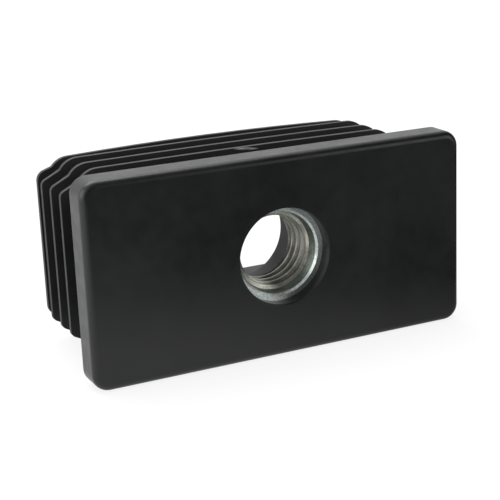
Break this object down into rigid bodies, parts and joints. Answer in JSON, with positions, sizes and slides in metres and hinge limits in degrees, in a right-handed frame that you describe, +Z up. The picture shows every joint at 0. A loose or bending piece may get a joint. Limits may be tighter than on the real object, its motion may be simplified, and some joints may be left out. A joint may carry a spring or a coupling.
{
  "type": "threaded rectangular tube insert",
  "caption": "Rectangular plastic insert for a tube's end: a cover plate, a hollow stem with flexible fins and a moulded-in steel bush with an internal thread.",
  "frame": {"origin": "where the thread's axis meets the plane of the head's back, which is the plane of the tube's end", "axes": "-Y out of the face towards whatever is screwed in, +Y into the tube, X along the long side, +Z up, with the part lying on its long side"},
  "size_m": [0.08, 0.0356, 0.04],
  "materials": {
    "body_plastic": "fine matte moulded texture",
    "bush_steel": "turned and zinc plated"
  },
  "bodies": {
    "root": {"insert_body": "body_plastic", "threaded_bush": "bush_steel"}
  },
  "joints": []
}
